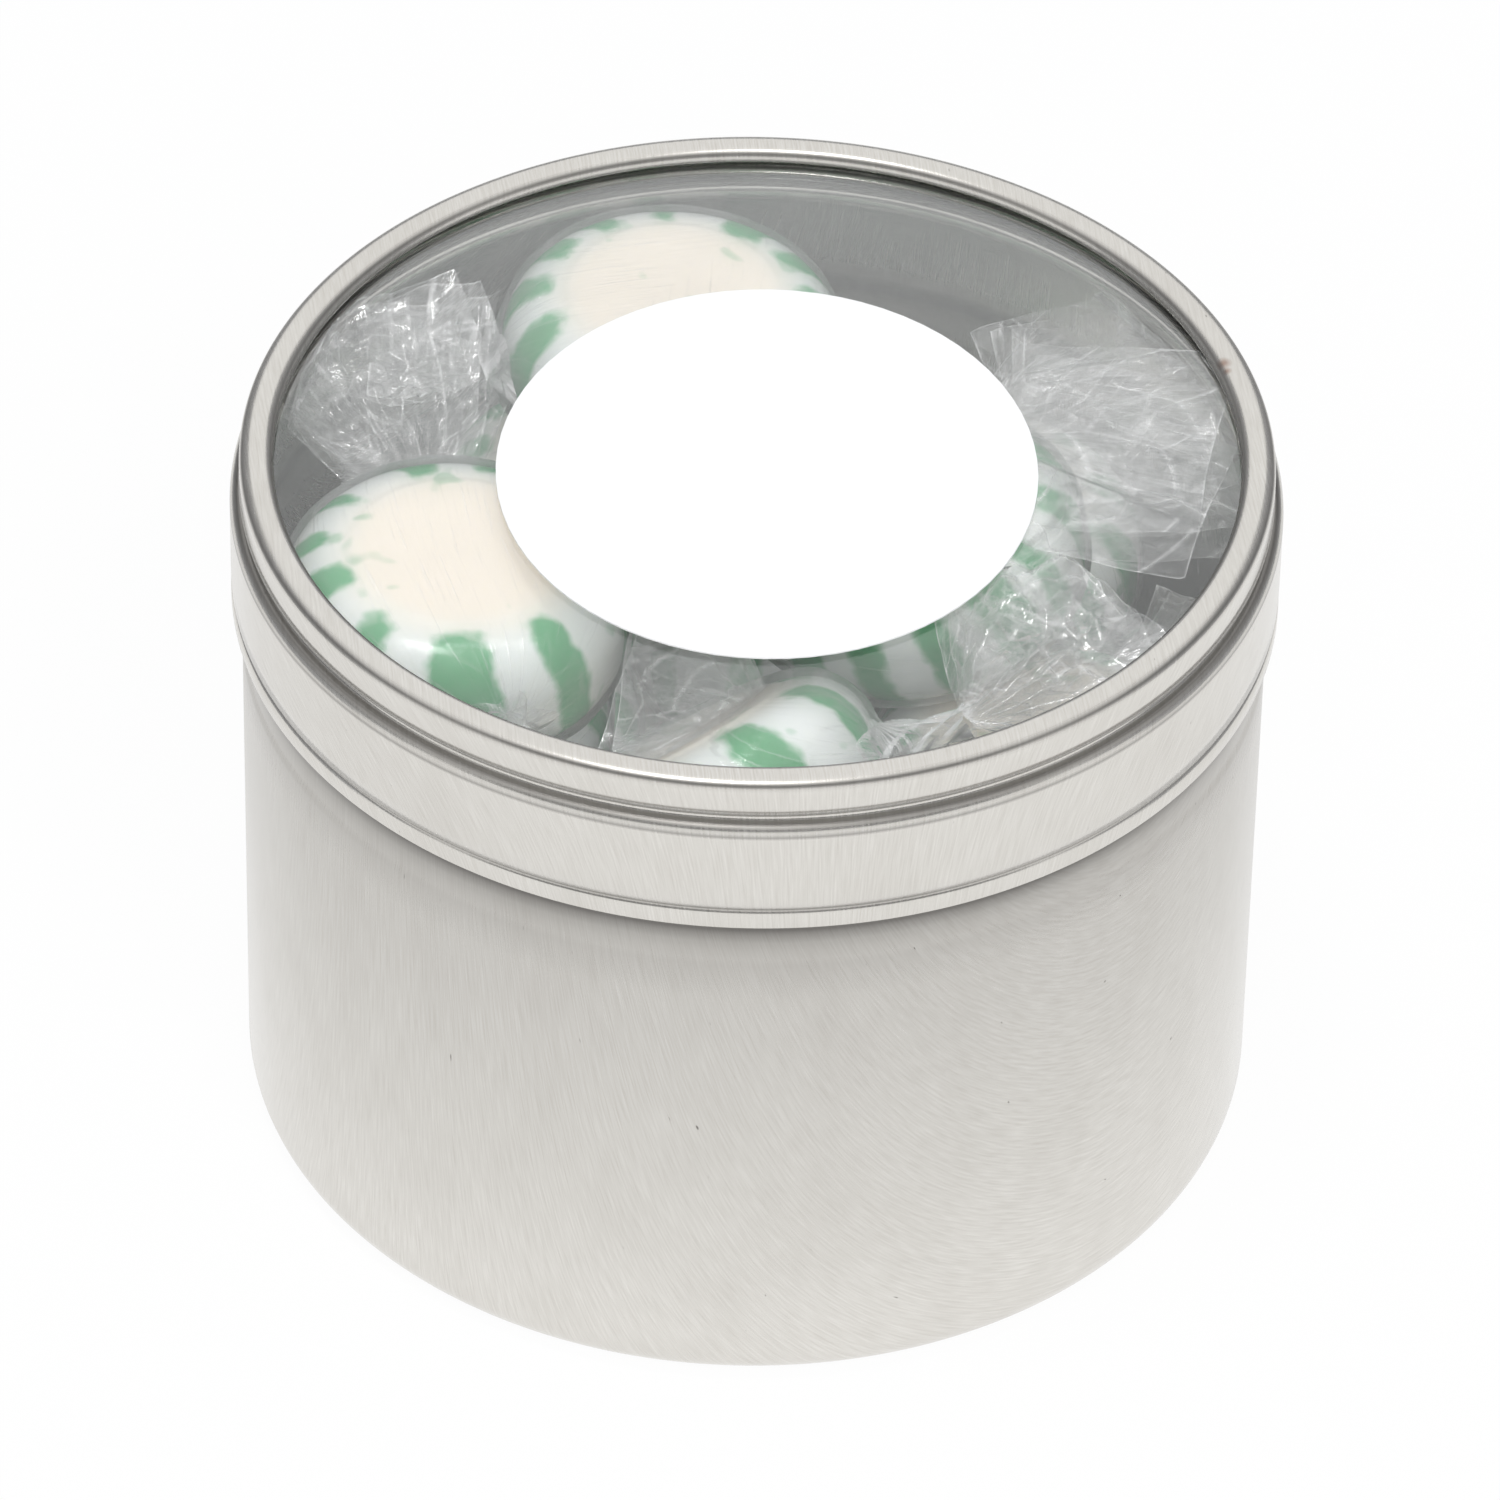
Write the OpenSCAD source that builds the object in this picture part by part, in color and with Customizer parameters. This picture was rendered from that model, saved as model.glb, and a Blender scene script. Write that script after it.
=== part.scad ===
/* [Tin] */
// Overall diameter, across the lid's hem
lid_d = 76; // [76:0.5:90]
// Overall height with the lid on
total_h = 57; // [56.6:0.2:70]
// Thickness of the tinplate
sheet = 0.3; // [0.24:0.01:0.32]
// Radius of the rounded edge under the tin
base_round = 2.5; // [1.5:0.1:4]
// Width of the flat ring that the tin stands on
foot_w = 1.4; // [0.6:0.1:3]
// Rise of the pressed panel inside that ring
panel_rise = 0.8; // [0.4:0.1:1.2]
// Width of the slope between ring and panel
panel_slope = 0.8; // [0.4:0.1:2]
// Height at which the tin's wall draws in to take the lid
neck_z = 40; // [36:0.5:42]
// How far the wall draws in there
neck_step = 0.15; // [0.05:0.01:0.3]
// Height of the sloping part of that step
neck_slope = 0.6; // [0.3:0.1:1.5]
// Radius of the curl rolled inwards round the tin's mouth
curl_round = 0.75; // [0.6:0.05:0.85]

/* [Lid] */
// Height of the lid, hem to rim
lid_h = 12.8; // [10:0.1:15]
// Running gap between the lid's hem and the tin's neck
slip_gap = 0.3; // [0.25:0.01:0.4]
// Gap between the lid's shoulder and the tin's curl
seat_gap = 0.3; // [0.25:0.01:0.4]
// Height of the folded hem, up to the groove above it
hem_h = 1.7; // [1.2:0.1:2.5]
// Radius of the groove pressed in above the hem
hem_groove = 0.2; // [0.1:0.05:0.25]
// Radius of the lid's shoulder
shoulder_round = 0.8; // [0.7:0.05:1]
// Drop from the rim's top to the shoulder
shoulder_drop = 3.5; // [3.4:0.1:5]
// Radius of the groove that locks the window in
lock_groove = 0.3; // [0.2:0.05:0.35]
// How far the upper band is set in from the lid's side
rim_step = 0.7; // [0.6:0.05:0.8]
// Width of the rolled rim
rim_w = 2.5; // [2.2:0.1:4]
// Radius of the rim's outer edge
rim_round = 1.25; // [0.9:0.05:1.3]
// Radius of the rim's inner lip
lip_round = 0.9; // [0.6:0.05:0.9]

/* [Window and label] */
// Thickness of the clear sheet
window_t = 0.3; // [0.2:0.05:0.4]
// Radius of the window's turned-down edge
window_round = 0.5; // [0.5:0.05:0.6]
// Gap between the window's edge and the locking groove
window_seat = 0.1; // [0.05:0.05:0.3]
// Width of the oval label
label_w = 39; // [20:0.5:50]
// Depth of the oval label, front to back
label_l = 42; // [20:0.5:50]
// Thickness of the label
label_t = 0.12; // [0.08:0.02:0.2]
// Place of the label's middle, to the right of the lid's
label_x = 0.7; // [-3:0.1:3]
// Place of the label's middle, to the back of the lid's
label_y = -1.6; // [-3:0.1:3]

/* [Mints] */
// Diameter of a mint
mint_d = 25; // [22:0.1:25]
// Thickness of a mint over its two faces
mint_h = 11.4; // [10:0.1:11.4]
// Radius of the mint's rounded edge
mint_round = 4.4; // [3:0.1:4.8]
// Diameter of the raised middle of each face
face_d = 15; // [10:0.5:15]
// How far the middle of each face is raised
face_rise = 0.25; // [0.1:0.05:0.4]

/* [Wrappers] */
// Gap between a mint and its wrapper
film_gap = 0.2; // [0.1:0.05:0.3]
// Thickness of the crumpled wrapper
film_t = 0.55; // [0.3:0.05:0.6]
// Diameter of the twist at each end of a wrapper
twist_d = 2.4; // [1.5:0.1:3]
// Length of the twist
twist_l = 1.5; // [1:0.1:3]
// Thickness of the flared end beyond the twist
fan_t = 1.2; // [0.8:0.1:1.5]
// Spread of the flared end, in degrees
fan_spread = 44; // [30:1:48]
// How far the two ends lie above and below the mint's middle
fan_shift = 2.6; // [2:0.1:3]
// Gap between one layer of wrapped mints and the next
layer_gap = 0.3; // [0.3:0.05:0.6]
// Gap between a layer of wrapped mints and the tin's wall
side_gap = 0.5; // [0.4:0.05:0.6]

/* [Hidden] */
$fn = 180;

lid_r = lid_d / 2;
lid_z = total_h - lid_h;
rim_r = lid_r - rim_step;
neck_r = lid_r - 2 * sheet - slip_gap;
body_r = neck_r + neck_step;
bore_r = body_r - sheet;
floor_z = panel_rise + sheet;
shoulder_r = lid_r - shoulder_round;
shoulder_z = total_h - shoulder_drop;
lock_z = shoulder_z + lock_groove;
window_r = rim_r - sheet;
window_z = total_h - lip_round - window_t;

// The curl's round lies seat_gap from the round inside the locking groove
curl_r = neck_r - curl_round;
curl_reach = lock_groove + sheet + seat_gap + curl_round;
curl_z = lock_z - sqrt(pow(curl_reach, 2) - pow(shoulder_r - curl_r, 2));

// Wrapped mints lie in rings of five, layer on layer
wrap = film_gap + film_t;
wrap_r = mint_d / 2 + wrap;
layer_h = mint_h + 2 * wrap + layer_gap;
ring_n = 5;
ring_turn = 360 / ring_n;
ring_r = bore_r - side_gap - wrap_r;
function layer_z(k) = floor_z + layer_gap + wrap + mint_h / 2 + k * layer_h;

// The flared ends lie in the pockets between two neighbours and the wall. The circle that
// touches all three gives a pocket's radius, and its place as seen from a mint's middle
pocket_wall = bore_r - layer_gap;
pocket_axis = ring_r * cos(ring_turn / 2);
pocket_r = (pow(pocket_wall, 2) + pow(ring_r, 2) - 2 * pocket_wall * pocket_axis - pow(wrap_r, 2))
    / (2 * (wrap_r + pocket_wall - pocket_axis));
pocket = (pocket_wall - pocket_r) * [cos(ring_turn / 2), sin(ring_turn / 2)] - [ring_r, 0];
pocket_turn = atan2(pocket[1], pocket[0]);
pocket_fan = norm(pocket) + 0.75 * pocket_r - wrap_r - twist_l;
ring_ends = [
    [pocket_turn, fan_shift, twist_l, pocket_fan, fan_spread, 0],
    [-pocket_turn, -fan_shift, twist_l, pocket_fan, fan_spread, 0]
];

// The whole layers from the bottom up: name, angle of the first mint, number of mints. The tin
// takes as many as fit below the loose mints, and where it is low the first of them stay out
LAYERS = [["deep", 82, 5], ["bottom", 46, 5], ["lower", 10, 5], ["upper", -26, 4]];
loose_h = layer_h + 1.6;
layers_n = floor((window_z - floor_z - loose_h) / layer_h);
WHOLE = [for (k = [len(LAYERS) - layers_n:1:len(LAYERS) - 1]) if (k >= 0) LAYERS[k]];

// The loose mints on top: name, angle round the tin, distance from the wall, rise above the
// next layer's height, lean to the right and to the back, and the wrapper's ends, each with
// its turn, height above the mint's middle, length of twist, radius, spread and bend sideways
TOP = [
    ["left", 200, 0.8, 0.3, [3, -2], [[102, -0.8, 1.5, 11.5, 52, 0], [-72, 0.5, 1.5, 4, 40, 0]]],
    ["back", 107, 1.4, 1.4, [1, 0], [[195, 1, 1.5, 7, 40, 0], [265, 1, 1.5, 6, 36, 0]]],
    ["front", 264.2, 1, -5, [-33, 32], [[-10, -2, 7, 10, 44, 60], [180, 0, 1.5, 4, 40, 0]]],
    ["right", 0, 12.3, 0, [-11, -2], [[60, -1.5, 1.5, 12, 80, -56], [200, 1, 1.5, 3, 40, 0]]]
];

mint_names = concat(
    [for (l = WHOLE) for (i = [1:l[2]]) str(l[0], "_", i)],
    [for (t = TOP) str("top_", t[0])]
);

// Upright stretch of sheet whose outer face is at radius r, from height z0 to z1
module wall(r, z0, z1, t = sheet) translate([r - t, z0]) square([t, z1 - z0]);

// Level stretch of sheet whose underside is at height z, from radius r0 to r1
module level(r0, r1, z, t = sheet) translate([r0, z]) square([r1 - r0, t]);

// Sloping stretch between two points of the outer face, inner[0] and inner[1] behind them
module slope(outer, inner) polygon([outer[0], outer[1], inner[1], inner[0]]);

// Bend in the sheet about c, with outer radius r, from angle a to angle b
module bend(c, r, a, b, t = sheet) {
    step = (b - a) / 4;
    translate(c) intersection() {
        difference() {
            circle(r);
            if (r > t) circle(r - t);
        }
        polygon([[0, 0], for (k = [0:4]) 2 * r * [cos(a + k * step), sin(a + k * step)]]);
    }
}

// Drawn tin in one piece: pressed panel, foot ring, wall with its neck, and the curled mouth
module tin_body() {
    foot_out = body_r - base_round;
    foot_in = foot_out - foot_w;
    panel_r = foot_in - panel_slope;
    neck_top = neck_z + neck_slope;
    color([0.8, 0.8, 0.78]) rotate_extrude() {
        level(0, panel_r, panel_rise);
        slope([[panel_r, panel_rise], [foot_in, 0]], [[panel_r, floor_z], [foot_in, sheet]]);
        level(foot_in, foot_out, 0);
        bend([foot_out, base_round], base_round, -90, 0);
        wall(body_r, base_round, neck_z);
        slope([[body_r, neck_z], [neck_r, neck_top]], [[bore_r, neck_z], [neck_r - sheet, neck_top]]);
        wall(neck_r, neck_top, curl_z);
        bend([curl_r, curl_z], curl_round, 0, 270);
    }
}

// Lid ring in one piece: folded hem, groove, skirt, shoulder, locking groove, band, rolled rim
module lid_ring() {
    groove_z = lid_z + hem_h;
    fold_top = groove_z - hem_groove - sheet;
    lip_r = rim_r - rim_w;
    color([0.82, 0.82, 0.8]) rotate_extrude() {
        bend([lid_r - sheet, lid_z + sheet], sheet, 180, 360);
        wall(lid_r - sheet, lid_z + sheet, fold_top);
        wall(lid_r, lid_z + sheet, groove_z - hem_groove);
        bend([lid_r, groove_z], hem_groove + sheet, 90, 270);
        difference() {
            wall(lid_r, groove_z - hem_groove, shoulder_z - shoulder_round);
            translate([lid_r, groove_z]) circle(hem_groove);
        }
        bend([shoulder_r, shoulder_z - shoulder_round], shoulder_round, 0, 90);
        bend([shoulder_r, lock_z], lock_groove + sheet, 90, 270);
        level(min(shoulder_r, rim_r - sheet), rim_r, lock_z + lock_groove);
        wall(rim_r, lock_z + lock_groove, total_h - rim_round);
        bend([rim_r - rim_round, total_h - rim_round], rim_round, 0, 90);
        level(lip_r + lip_round, rim_r - rim_round, total_h - sheet);
        bend([lip_r + lip_round, total_h - lip_round], lip_round, 90, 180);
    }
}

// Clear window pressed from sheet: a disc with a turned-down edge above the locking groove
module lid_window() {
    turn_z = window_z + window_t - window_round;
    color([0.85, 0.92, 0.95, 0.35]) rotate_extrude() {
        level(0, window_r - window_round, window_z, window_t);
        bend([window_r - window_round, turn_z], window_round, 0, 90, window_t);
        wall(window_r, lock_z + lock_groove + sheet + window_seat, turn_z, window_t);
    }
}

// Bare oval label stuck on the window
module label() color([0.97, 0.97, 0.97]) translate([label_x, label_y, window_z + window_t])
    linear_extrude(label_t)
        polygon([for (a = [0:5:355]) [label_w / 2 * cos(a), label_l / 2 * sin(a)]]);

// Disc of radius r and half height h with a rounded edge of radius e
module puck(r, h, e) rotate_extrude() {
    translate([0, -h]) square([r - e, 2 * h]);
    translate([0, e - h]) square([r, 2 * (h - e)]);
    for (side = [-1, 1]) translate([r - e, side * (h - e)]) circle(e);
}

// Pressed sugar mint: a disc with a rounded edge and a raised middle on each face
module mint() color([0.93, 0.94, 0.9]) {
    puck(mint_d / 2, mint_h / 2 - face_rise, mint_round);
    puck(face_d / 2, mint_h / 2, face_rise);
}

// Space inside a wrapper, grown from the mint all round
module grown_mint(by) puck(mint_d / 2 + by, mint_h / 2 + by, mint_round + by);

// End of a wrapper: a twist and the flared end beyond it
module wrapper_end(turn, shift, length, fan_r, spread, sideways) {
    root = mint_d / 2 - mint_round;
    far = 2 * fan_r * [cos(spread / 2), sin(spread / 2)];
    rotate(turn) translate([0, 0, shift]) {
        translate([root, 0, 0]) rotate([0, 90, 0]) cylinder(d = twist_d, h = wrap_r + length - root);
        translate([wrap_r + length - twist_d / 2, 0, 0]) rotate(sideways)
            linear_extrude(fan_t, center = true) intersection() {
                circle(fan_r + twist_d / 2);
                polygon([[0, 0], [far[0], -far[1]], far]);
            }
    }
}

// Clear wrapper of one mint: crumpled film all round it, twisted at both ends
module wrapper(ends) color([0.85, 0.9, 0.9, 0.4]) difference() {
    union() {
        grown_mint(wrap);
        for (e = ends) wrapper_end(e[0], e[1], e[2], e[3], e[4], e[5]);
    }
    grown_mint(film_gap);
}

// Place of mint i of whole layer k, its local X axis pointing at the wall
module in_layer(k, i) rotate(WHOLE[k][1] + i * ring_turn) translate([ring_r, 0, layer_z(k)])
    children();

// Place of loose mint t, leaning as it does
module on_top(t) {
    out = bore_r - t[2] - wrap_r;
    up = [tan(t[4][0]), tan(t[4][1]), 1];
    translate([out * cos(t[1]), out * sin(t[1]), layer_z(len(WHOLE)) + t[3]])
        rotate(a = acos(1 / norm(up)), v = cross([0, 0, 1], up)) children();
}

tin_body();
lid_ring();
lid_window();
label();
for (k = [0:1:len(WHOLE) - 1], i = [0:WHOLE[k][2] - 1]) {
    name = str(WHOLE[k][0], "_", i + 1);
    in_layer(k, i) mint();
    in_layer(k, i) wrapper(ring_ends);
}
for (t = TOP) {
    on_top(t) mint();
    on_top(t) wrapper(t[5]);
}
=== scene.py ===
"""A round slip-lid tin with a clear window, full of wrapped mints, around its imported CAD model."""
import math
import random

import bmesh
import bpy
from mathutils import Matrix, Vector, noise


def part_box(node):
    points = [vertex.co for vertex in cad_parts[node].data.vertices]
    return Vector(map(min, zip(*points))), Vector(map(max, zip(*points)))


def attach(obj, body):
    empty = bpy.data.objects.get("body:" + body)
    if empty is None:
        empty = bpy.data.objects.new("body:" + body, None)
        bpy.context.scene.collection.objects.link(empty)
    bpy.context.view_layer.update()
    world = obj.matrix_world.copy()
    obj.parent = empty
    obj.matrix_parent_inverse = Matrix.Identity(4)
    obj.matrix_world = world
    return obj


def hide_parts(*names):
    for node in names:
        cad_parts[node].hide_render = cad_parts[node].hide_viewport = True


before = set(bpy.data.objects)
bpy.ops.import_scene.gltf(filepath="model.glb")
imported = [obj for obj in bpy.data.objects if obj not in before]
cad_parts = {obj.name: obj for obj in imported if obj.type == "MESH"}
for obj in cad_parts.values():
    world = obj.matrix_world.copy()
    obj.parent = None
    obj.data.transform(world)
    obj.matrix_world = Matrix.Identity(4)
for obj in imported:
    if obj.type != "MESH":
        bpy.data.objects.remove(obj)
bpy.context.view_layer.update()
MM = 0.001


# The camera looks down at the tin from the front with a long lens, turned a little on its
# axis. It aims at the tin's middle, and the picture's centre lies a hair below and left of that.
def aim_camera():
    distance, elevation, roll = 0.8287, math.radians(40.47), math.radians(1.19)
    aim, aside, down = Vector((0, 0, 0.02923)), 0.00012, 0.00064
    back = Vector((0, -math.cos(elevation), math.sin(elevation)))
    level, upright = Vector((1, 0, 0)), Vector((0, math.sin(elevation), math.cos(elevation)))
    right = math.cos(roll) * level + math.sin(roll) * upright
    up = back.cross(right)
    place = aim - aside * right - down * up + distance * back
    lens = bpy.data.cameras.new("camera")
    lens.lens, lens.sensor_width, lens.clip_start = 270.6, 36, 0.01
    camera = bpy.data.objects.new("camera", lens)
    bpy.context.scene.collection.objects.link(camera)
    camera.matrix_world = Matrix((right, up, back)).transposed().to_4x4()
    camera.location = place
    bpy.context.scene.camera = camera
    bpy.context.scene.view_settings.view_transform = "Standard"


aim_camera()


# The studio is a pale floor under a plain white surround. A soft lamp hangs overhead, and a
# larger, weaker one stands in front. Behind the camera the room is dark, which metal shows.
def srgb(code):
    channels = [int(code[i:i + 2], 16) / 255 for i in (1, 3, 5)]
    linear = [c / 12.92 if c <= 0.04045 else ((c + 0.055) / 1.055) ** 2.4 for c in channels]
    return (*linear, 1)


def add_node(tree, kind, sockets=None, **settings):
    node = tree.nodes.new("ShaderNode" + kind)
    for name, value in settings.items():
        setattr(node, name, value)
    for name, value in (sockets or {}).items():
        if isinstance(value, bpy.types.Node):
            value = value.outputs[0]
        if isinstance(value, bpy.types.NodeSocket):
            tree.links.new(value, node.inputs[name])
        else:
            node.inputs[name].default_value = value
    return node


def background_rays(tree):
    path = add_node(tree, "LightPath")
    seen = add_node(tree, "Math", {0: path.outputs["Is Camera Ray"], 1: path.outputs["Is Glossy Ray"]},
                    operation="MAXIMUM")
    return add_node(tree, "Math", {0: seen, 1: path.outputs["Is Transmission Ray"]},
                    operation="MAXIMUM")


def light_surround():
    world = bpy.data.worlds.new("studio")
    bpy.context.scene.world = world
    world.use_nodes = True
    tree = world.node_tree
    tree.nodes.clear()
    room = add_node(tree, "Background", {"Color": srgb("#F2F4F7"), "Strength": 0.55})
    white = add_node(tree, "Background", {"Color": (1, 1, 1, 1), "Strength": 1.0})
    shown = add_node(tree, "MixShader", {0: background_rays(tree), 1: room, 2: white})
    add_node(tree, "OutputWorld", {"Surface": shown})


def hang_lamp(name, place, width, depth, watts, shows=True):
    """A softbox aimed at the tin. Metal and film don't mirror one that doesn't show."""
    lamp = bpy.data.lights.new(name, "AREA")
    lamp.shape, lamp.size, lamp.size_y, lamp.energy = "RECTANGLE", width, depth, watts
    holder = bpy.data.objects.new(name, lamp)
    bpy.context.scene.collection.objects.link(holder)
    holder.location = place
    holder.rotation_euler = (-Vector(place)).to_track_quat("-Z", "Y").to_euler()
    holder.visible_glossy = shows


def lay_floor():
    bm = bmesh.new()
    bmesh.ops.create_circle(bm, cap_ends=True, segments=96, radius=2.5)
    floor = finish_mesh("floor", bm)
    paper = bpy.data.materials.new("backdrop_paper")
    paper.use_nodes = True
    tree = paper.node_tree
    tree.nodes.clear()
    lit = add_node(tree, "BsdfDiffuse", {"Color": srgb("#F6F6F6")})
    glow = add_node(tree, "Emission", {"Color": (1, 1, 1, 1), "Strength": 1.0})
    share = add_node(tree, "Math", {0: background_rays(tree), 1: 0.95}, operation="MULTIPLY")
    mixed = add_node(tree, "MixShader", {0: share, 1: lit, 2: glow})
    add_node(tree, "OutputMaterial", {"Surface": mixed})
    floor.data.materials.append(paper)


def hang_flag(name, low, high, start, end, shade):
    """A dark sheet round the set from one compass angle to another, which only metal shows."""
    bm = bmesh.new()
    tip = bm.verts.new((0.5 * math.cos(start), 0.5 * math.sin(start), low))
    top = bm.verts.new((tip.co.x, tip.co.y, high))
    edge = bm.edges.new((tip, top))
    bmesh.ops.spin(bm, geom=[tip, top, edge], cent=(0, 0, 0), axis=(0, 0, 1), dvec=(0, 0, 0),
                   angle=end - start, steps=48, use_merge=False, use_duplicate=False)
    flag = finish_mesh(name, bm)
    cloth = bpy.data.materials.new(name + "_cloth")
    cloth.use_nodes = True
    cloth.node_tree.nodes.clear()
    dark = add_node(cloth.node_tree, "Emission", {"Color": srgb(shade), "Strength": 1.0})
    add_node(cloth.node_tree, "OutputMaterial", {"Surface": dark})
    flag.data.materials.append(cloth)
    flag.visible_camera = flag.visible_diffuse = flag.visible_shadow = False
    flag.visible_transmission = False


def finish_mesh(name, bm):
    """Turns a bmesh into a smooth-shaded object at the origin."""
    for face in bm.faces:
        face.smooth = True
    mesh = bpy.data.meshes.new(name)
    bm.to_mesh(mesh)
    bm.free()
    piece = bpy.data.objects.new(name, mesh)
    bpy.context.scene.collection.objects.link(piece)
    return piece


light_surround()
hang_lamp("overhead_softbox", (-0.1, -0.12, 1.15), 0.3, 0.16, 2.6)
hang_lamp("front_softbox", (0.2, -0.9, 1.0), 0.8, 0.6, 9.4, shows=False)
lay_floor()
hang_flag("room_behind_camera", 0.3, 0.72, math.radians(-150), math.radians(-30), "#343436")
hang_flag("room_beyond", 0.001, 0.2, math.radians(-10), math.radians(190), "#8A8C90")
hang_flag("room_left", 0.2, 0.45, math.radians(115), math.radians(200), "#77787C")
hang_flag("room_right", 0.2, 0.45, math.radians(-20), math.radians(65), "#77787C")


# The tin's body is drawn from one disc of tinplate. Its pressed bottom stands on a narrow
# ring, the wall draws in at the neck, and the mouth is curled inwards. The rolling grain of
# the flat disc runs straight across it, so on the wall it leans differently all the way round.
sheet = 0.3 * MM
tin_low, tin_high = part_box("tin_body")


def sheet_path(bm, start):
    """Starts the middle line of a sheet's section at a radius and height."""
    blank = bm.verts.layers.float.new("blank_radius")
    tip = bm.verts.new((start[0], 0, start[1]))
    tip[blank] = start[0]
    return tip


def blank_grows(bm, tip, new):
    """Drawn sheet keeps its area, which gives a point's radius on the flat disc it came from."""
    blank = bm.verts.layers.float["blank_radius"]
    run = (new.co - tip.co).length
    new[blank] = math.sqrt(tip[blank] ** 2 + (tip.co.x + new.co.x) * run)
    return new


def run_to(bm, tip, radius, height, steps=1):
    """Carries the section straight on to a radius and height."""
    start = tip.co.copy()
    end = Vector((radius, 0, height))
    for k in range(steps):
        new = bm.verts.new(start.lerp(end, (k + 1) / steps))
        bm.edges.new((tip, new))
        tip = blank_grows(bm, tip, new)
    return tip


def bend_round(bm, tip, centre, degrees, steps=8):
    """Carries the section round a centre; a bend to the left of its course is positive."""
    for _ in range(steps):
        turn = Matrix.Rotation(math.radians(-degrees / steps), 3, "Y")
        middle = Vector((centre[0], 0, centre[1]))
        new = bm.verts.new(middle + turn @ (tip.co - middle))
        bm.edges.new((tip, new))
        tip = blank_grows(bm, tip, new)
    return tip


def spin_sheet(name, bm, grain, segments=240):
    """Spins the section into a shell and maps each point to its place on the flat disc, in mm."""
    bmesh.ops.spin(bm, geom=bm.verts[:] + bm.edges[:], cent=(0, 0, 0), axis=(0, 0, 1),
                   dvec=(0, 0, 0), angle=math.tau, steps=segments, use_merge=True)
    bmesh.ops.remove_doubles(bm, verts=bm.verts, dist=1e-6)
    bmesh.ops.recalc_face_normals(bm, faces=bm.faces)
    blank = bm.verts.layers.float["blank_radius"]
    flat = bm.loops.layers.uv.new("blank")
    for face in bm.faces:
        for loop in face.loops:
            turned = math.atan2(loop.vert.co.y, loop.vert.co.x) - grain
            radius = loop.vert[blank] / MM
            loop[flat].uv = (radius * math.cos(turned), radius * math.sin(turned))
    shell = finish_mesh(name, bm)
    wall = shell.modifiers.new("sheet", "SOLIDIFY")
    wall.thickness, wall.offset = sheet, 0
    return shell


def draw_tin():
    base_round, foot_w, panel_rise, panel_slope = 2.5 * MM, 1.4 * MM, 0.8 * MM, 0.8 * MM
    neck_z, neck_step, neck_slope, curl_round = 40 * MM, 0.15 * MM, 0.6 * MM, 0.75 * MM
    half = sheet / 2
    wall = tin_high.x - half
    foot_out = tin_high.x - base_round
    foot_in = foot_out - foot_w
    neck = wall - neck_step
    curl_z = tin_high.z - curl_round
    bm = bmesh.new()
    tip = sheet_path(bm, (0, panel_rise + half))
    tip = run_to(bm, tip, foot_in - panel_slope, panel_rise + half, 8)
    tip = run_to(bm, tip, foot_in, half, 2)
    tip = run_to(bm, tip, foot_out, half, 2)
    tip = bend_round(bm, tip, (foot_out, base_round), 90, 12)
    tip = run_to(bm, tip, wall, neck_z - 0.2 * MM, 16)
    tip = run_to(bm, tip, wall, neck_z)
    tip = run_to(bm, tip, neck, neck_z + neck_slope, 3)
    tip = run_to(bm, tip, neck, neck_z + neck_slope + 0.2 * MM)
    tip = run_to(bm, tip, neck, curl_z, 4)
    bend_round(bm, tip, (tin_high.x - neck_step - curl_round, curl_z), 270, 18)
    return spin_sheet("drawn_tin", bm, math.radians(-134))


# Painted shade on the tin, as (height in mm, amount), which also dulls it: a little darker towards the neck,
# darkest in a painted shadow just under the lid's hem, and less so up the neck that the lid covers
TIN_SHADE_AND_DULLING = [(0, 0), (5, 0.01), (20, 0.11), (37, 0.22), (40.05, 0.32), (40.6, 0.3), (41.4, 0.35),
            (42.2, 0.44), (42.6, 0.54), (43, 0.63), (43.4, 0.78), (44.1, 0.78), (44.8, 0.4), (46, 0.24),
            (51, 0.2), (52, 0.1)]


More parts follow.
